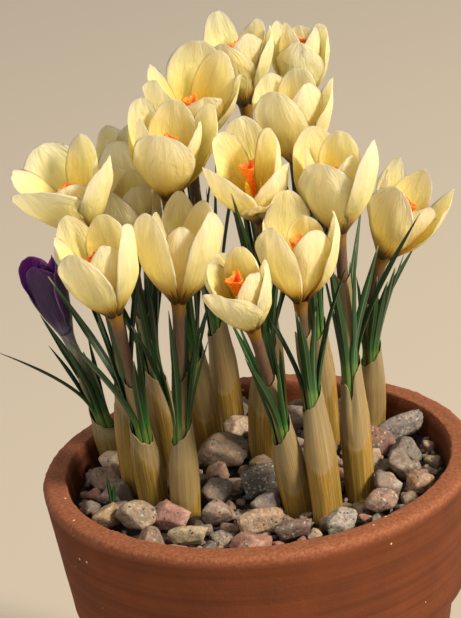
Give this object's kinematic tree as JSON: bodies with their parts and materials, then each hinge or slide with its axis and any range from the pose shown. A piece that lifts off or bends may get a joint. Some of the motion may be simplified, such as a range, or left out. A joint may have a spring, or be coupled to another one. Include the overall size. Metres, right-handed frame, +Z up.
{
  "type": "potted crocus",
  "caption": "Clump of cream crocuses with orange stigmas and grassy leaves in a clay pot of potting mix dressed with granite gravel, one dark purple bud behind.",
  "frame": {"origin": "centre of the pot's underside, on the surface that the pot stands on", "axes": "+Z up, the pictured front faces -Y, +X to the right of that view"},
  "size_m": [0.1416, 0.1392, 0.2431],
  "materials": {
    "terracotta": "unglazed fired clay, matt and slightly pitted, darker on the wall than on the worn rim",
    "potting_mix": "damp dark brown peaty mix",
    "granite": "broken and worn granite, matt, grey, pink and tan stones with pale and dark grains",
    "sheath": "thin straw-coloured papery sheath with fine lengthwise fibres, satin",
    "leaf": "smooth satin dark green with a pale midrib",
    "tepal_cream": "thin, slightly see-through, silky, golden in the throat",
    "tepal_purple": "thin, silky dark purple",
    "stigma": "velvety bright orange"
  },
  "bodies": {
    "root": {"pot": "terracotta", "potting_mix": "potting_mix", "gravel": "granite", "sheath_01": "sheath", "sheath_02": "sheath", "sheath_03": "sheath", "sheath_04": "sheath", "sheath_05": "sheath", "sheath_06": "sheath", "sheath_07": "sheath", "sheath_08": "sheath", "sheath_09": "sheath", "sheath_10": "sheath", "leaves_01": "leaf", "bloom_01": "tepal_cream", "stigma_01": "stigma", "leaves_02": "leaf", "bloom_02": "tepal_cream", "stigma_02": "stigma", "leaves_03": "leaf", "bloom_03": "tepal_cream", "stigma_03": "stigma", "leaves_04": "leaf", "bloom_04": "tepal_cream", "stigma_04": "stigma", "leaves_05": "leaf", "bloom_05": "tepal_cream", "stigma_05": "stigma", "leaves_06": "leaf", "bloom_06": "tepal_cream", "stigma_06": "stigma", "leaves_07": "leaf", "bloom_07": "tepal_cream", "stigma_07": "stigma", "leaves_08": "leaf", "bloom_08": "tepal_cream", "stigma_08": "stigma", "leaves_09": "leaf", "bloom_09": "tepal_cream", "stigma_09": "stigma", "leaves_10": "leaf", "bloom_10": "tepal_cream", "stigma_10": "stigma", "leaves_11": "leaf", "bloom_11": "tepal_cream", "stigma_11": "stigma", "leaves_12": "leaf", "bloom_12": "tepal_cream", "stigma_12": "stigma", "leaves_13": "leaf", "bloom_13": "tepal_cream", "stigma_13": "stigma", "leaves_14": "leaf", "bloom_14": "tepal_cream", "stigma_14": "stigma", "leaves_15": "leaf", "bloom_15": "tepal_cream", "stigma_15": "stigma", "leaves_16": "leaf", "bloom_16": "tepal_purple"}
  },
  "joints": []
}
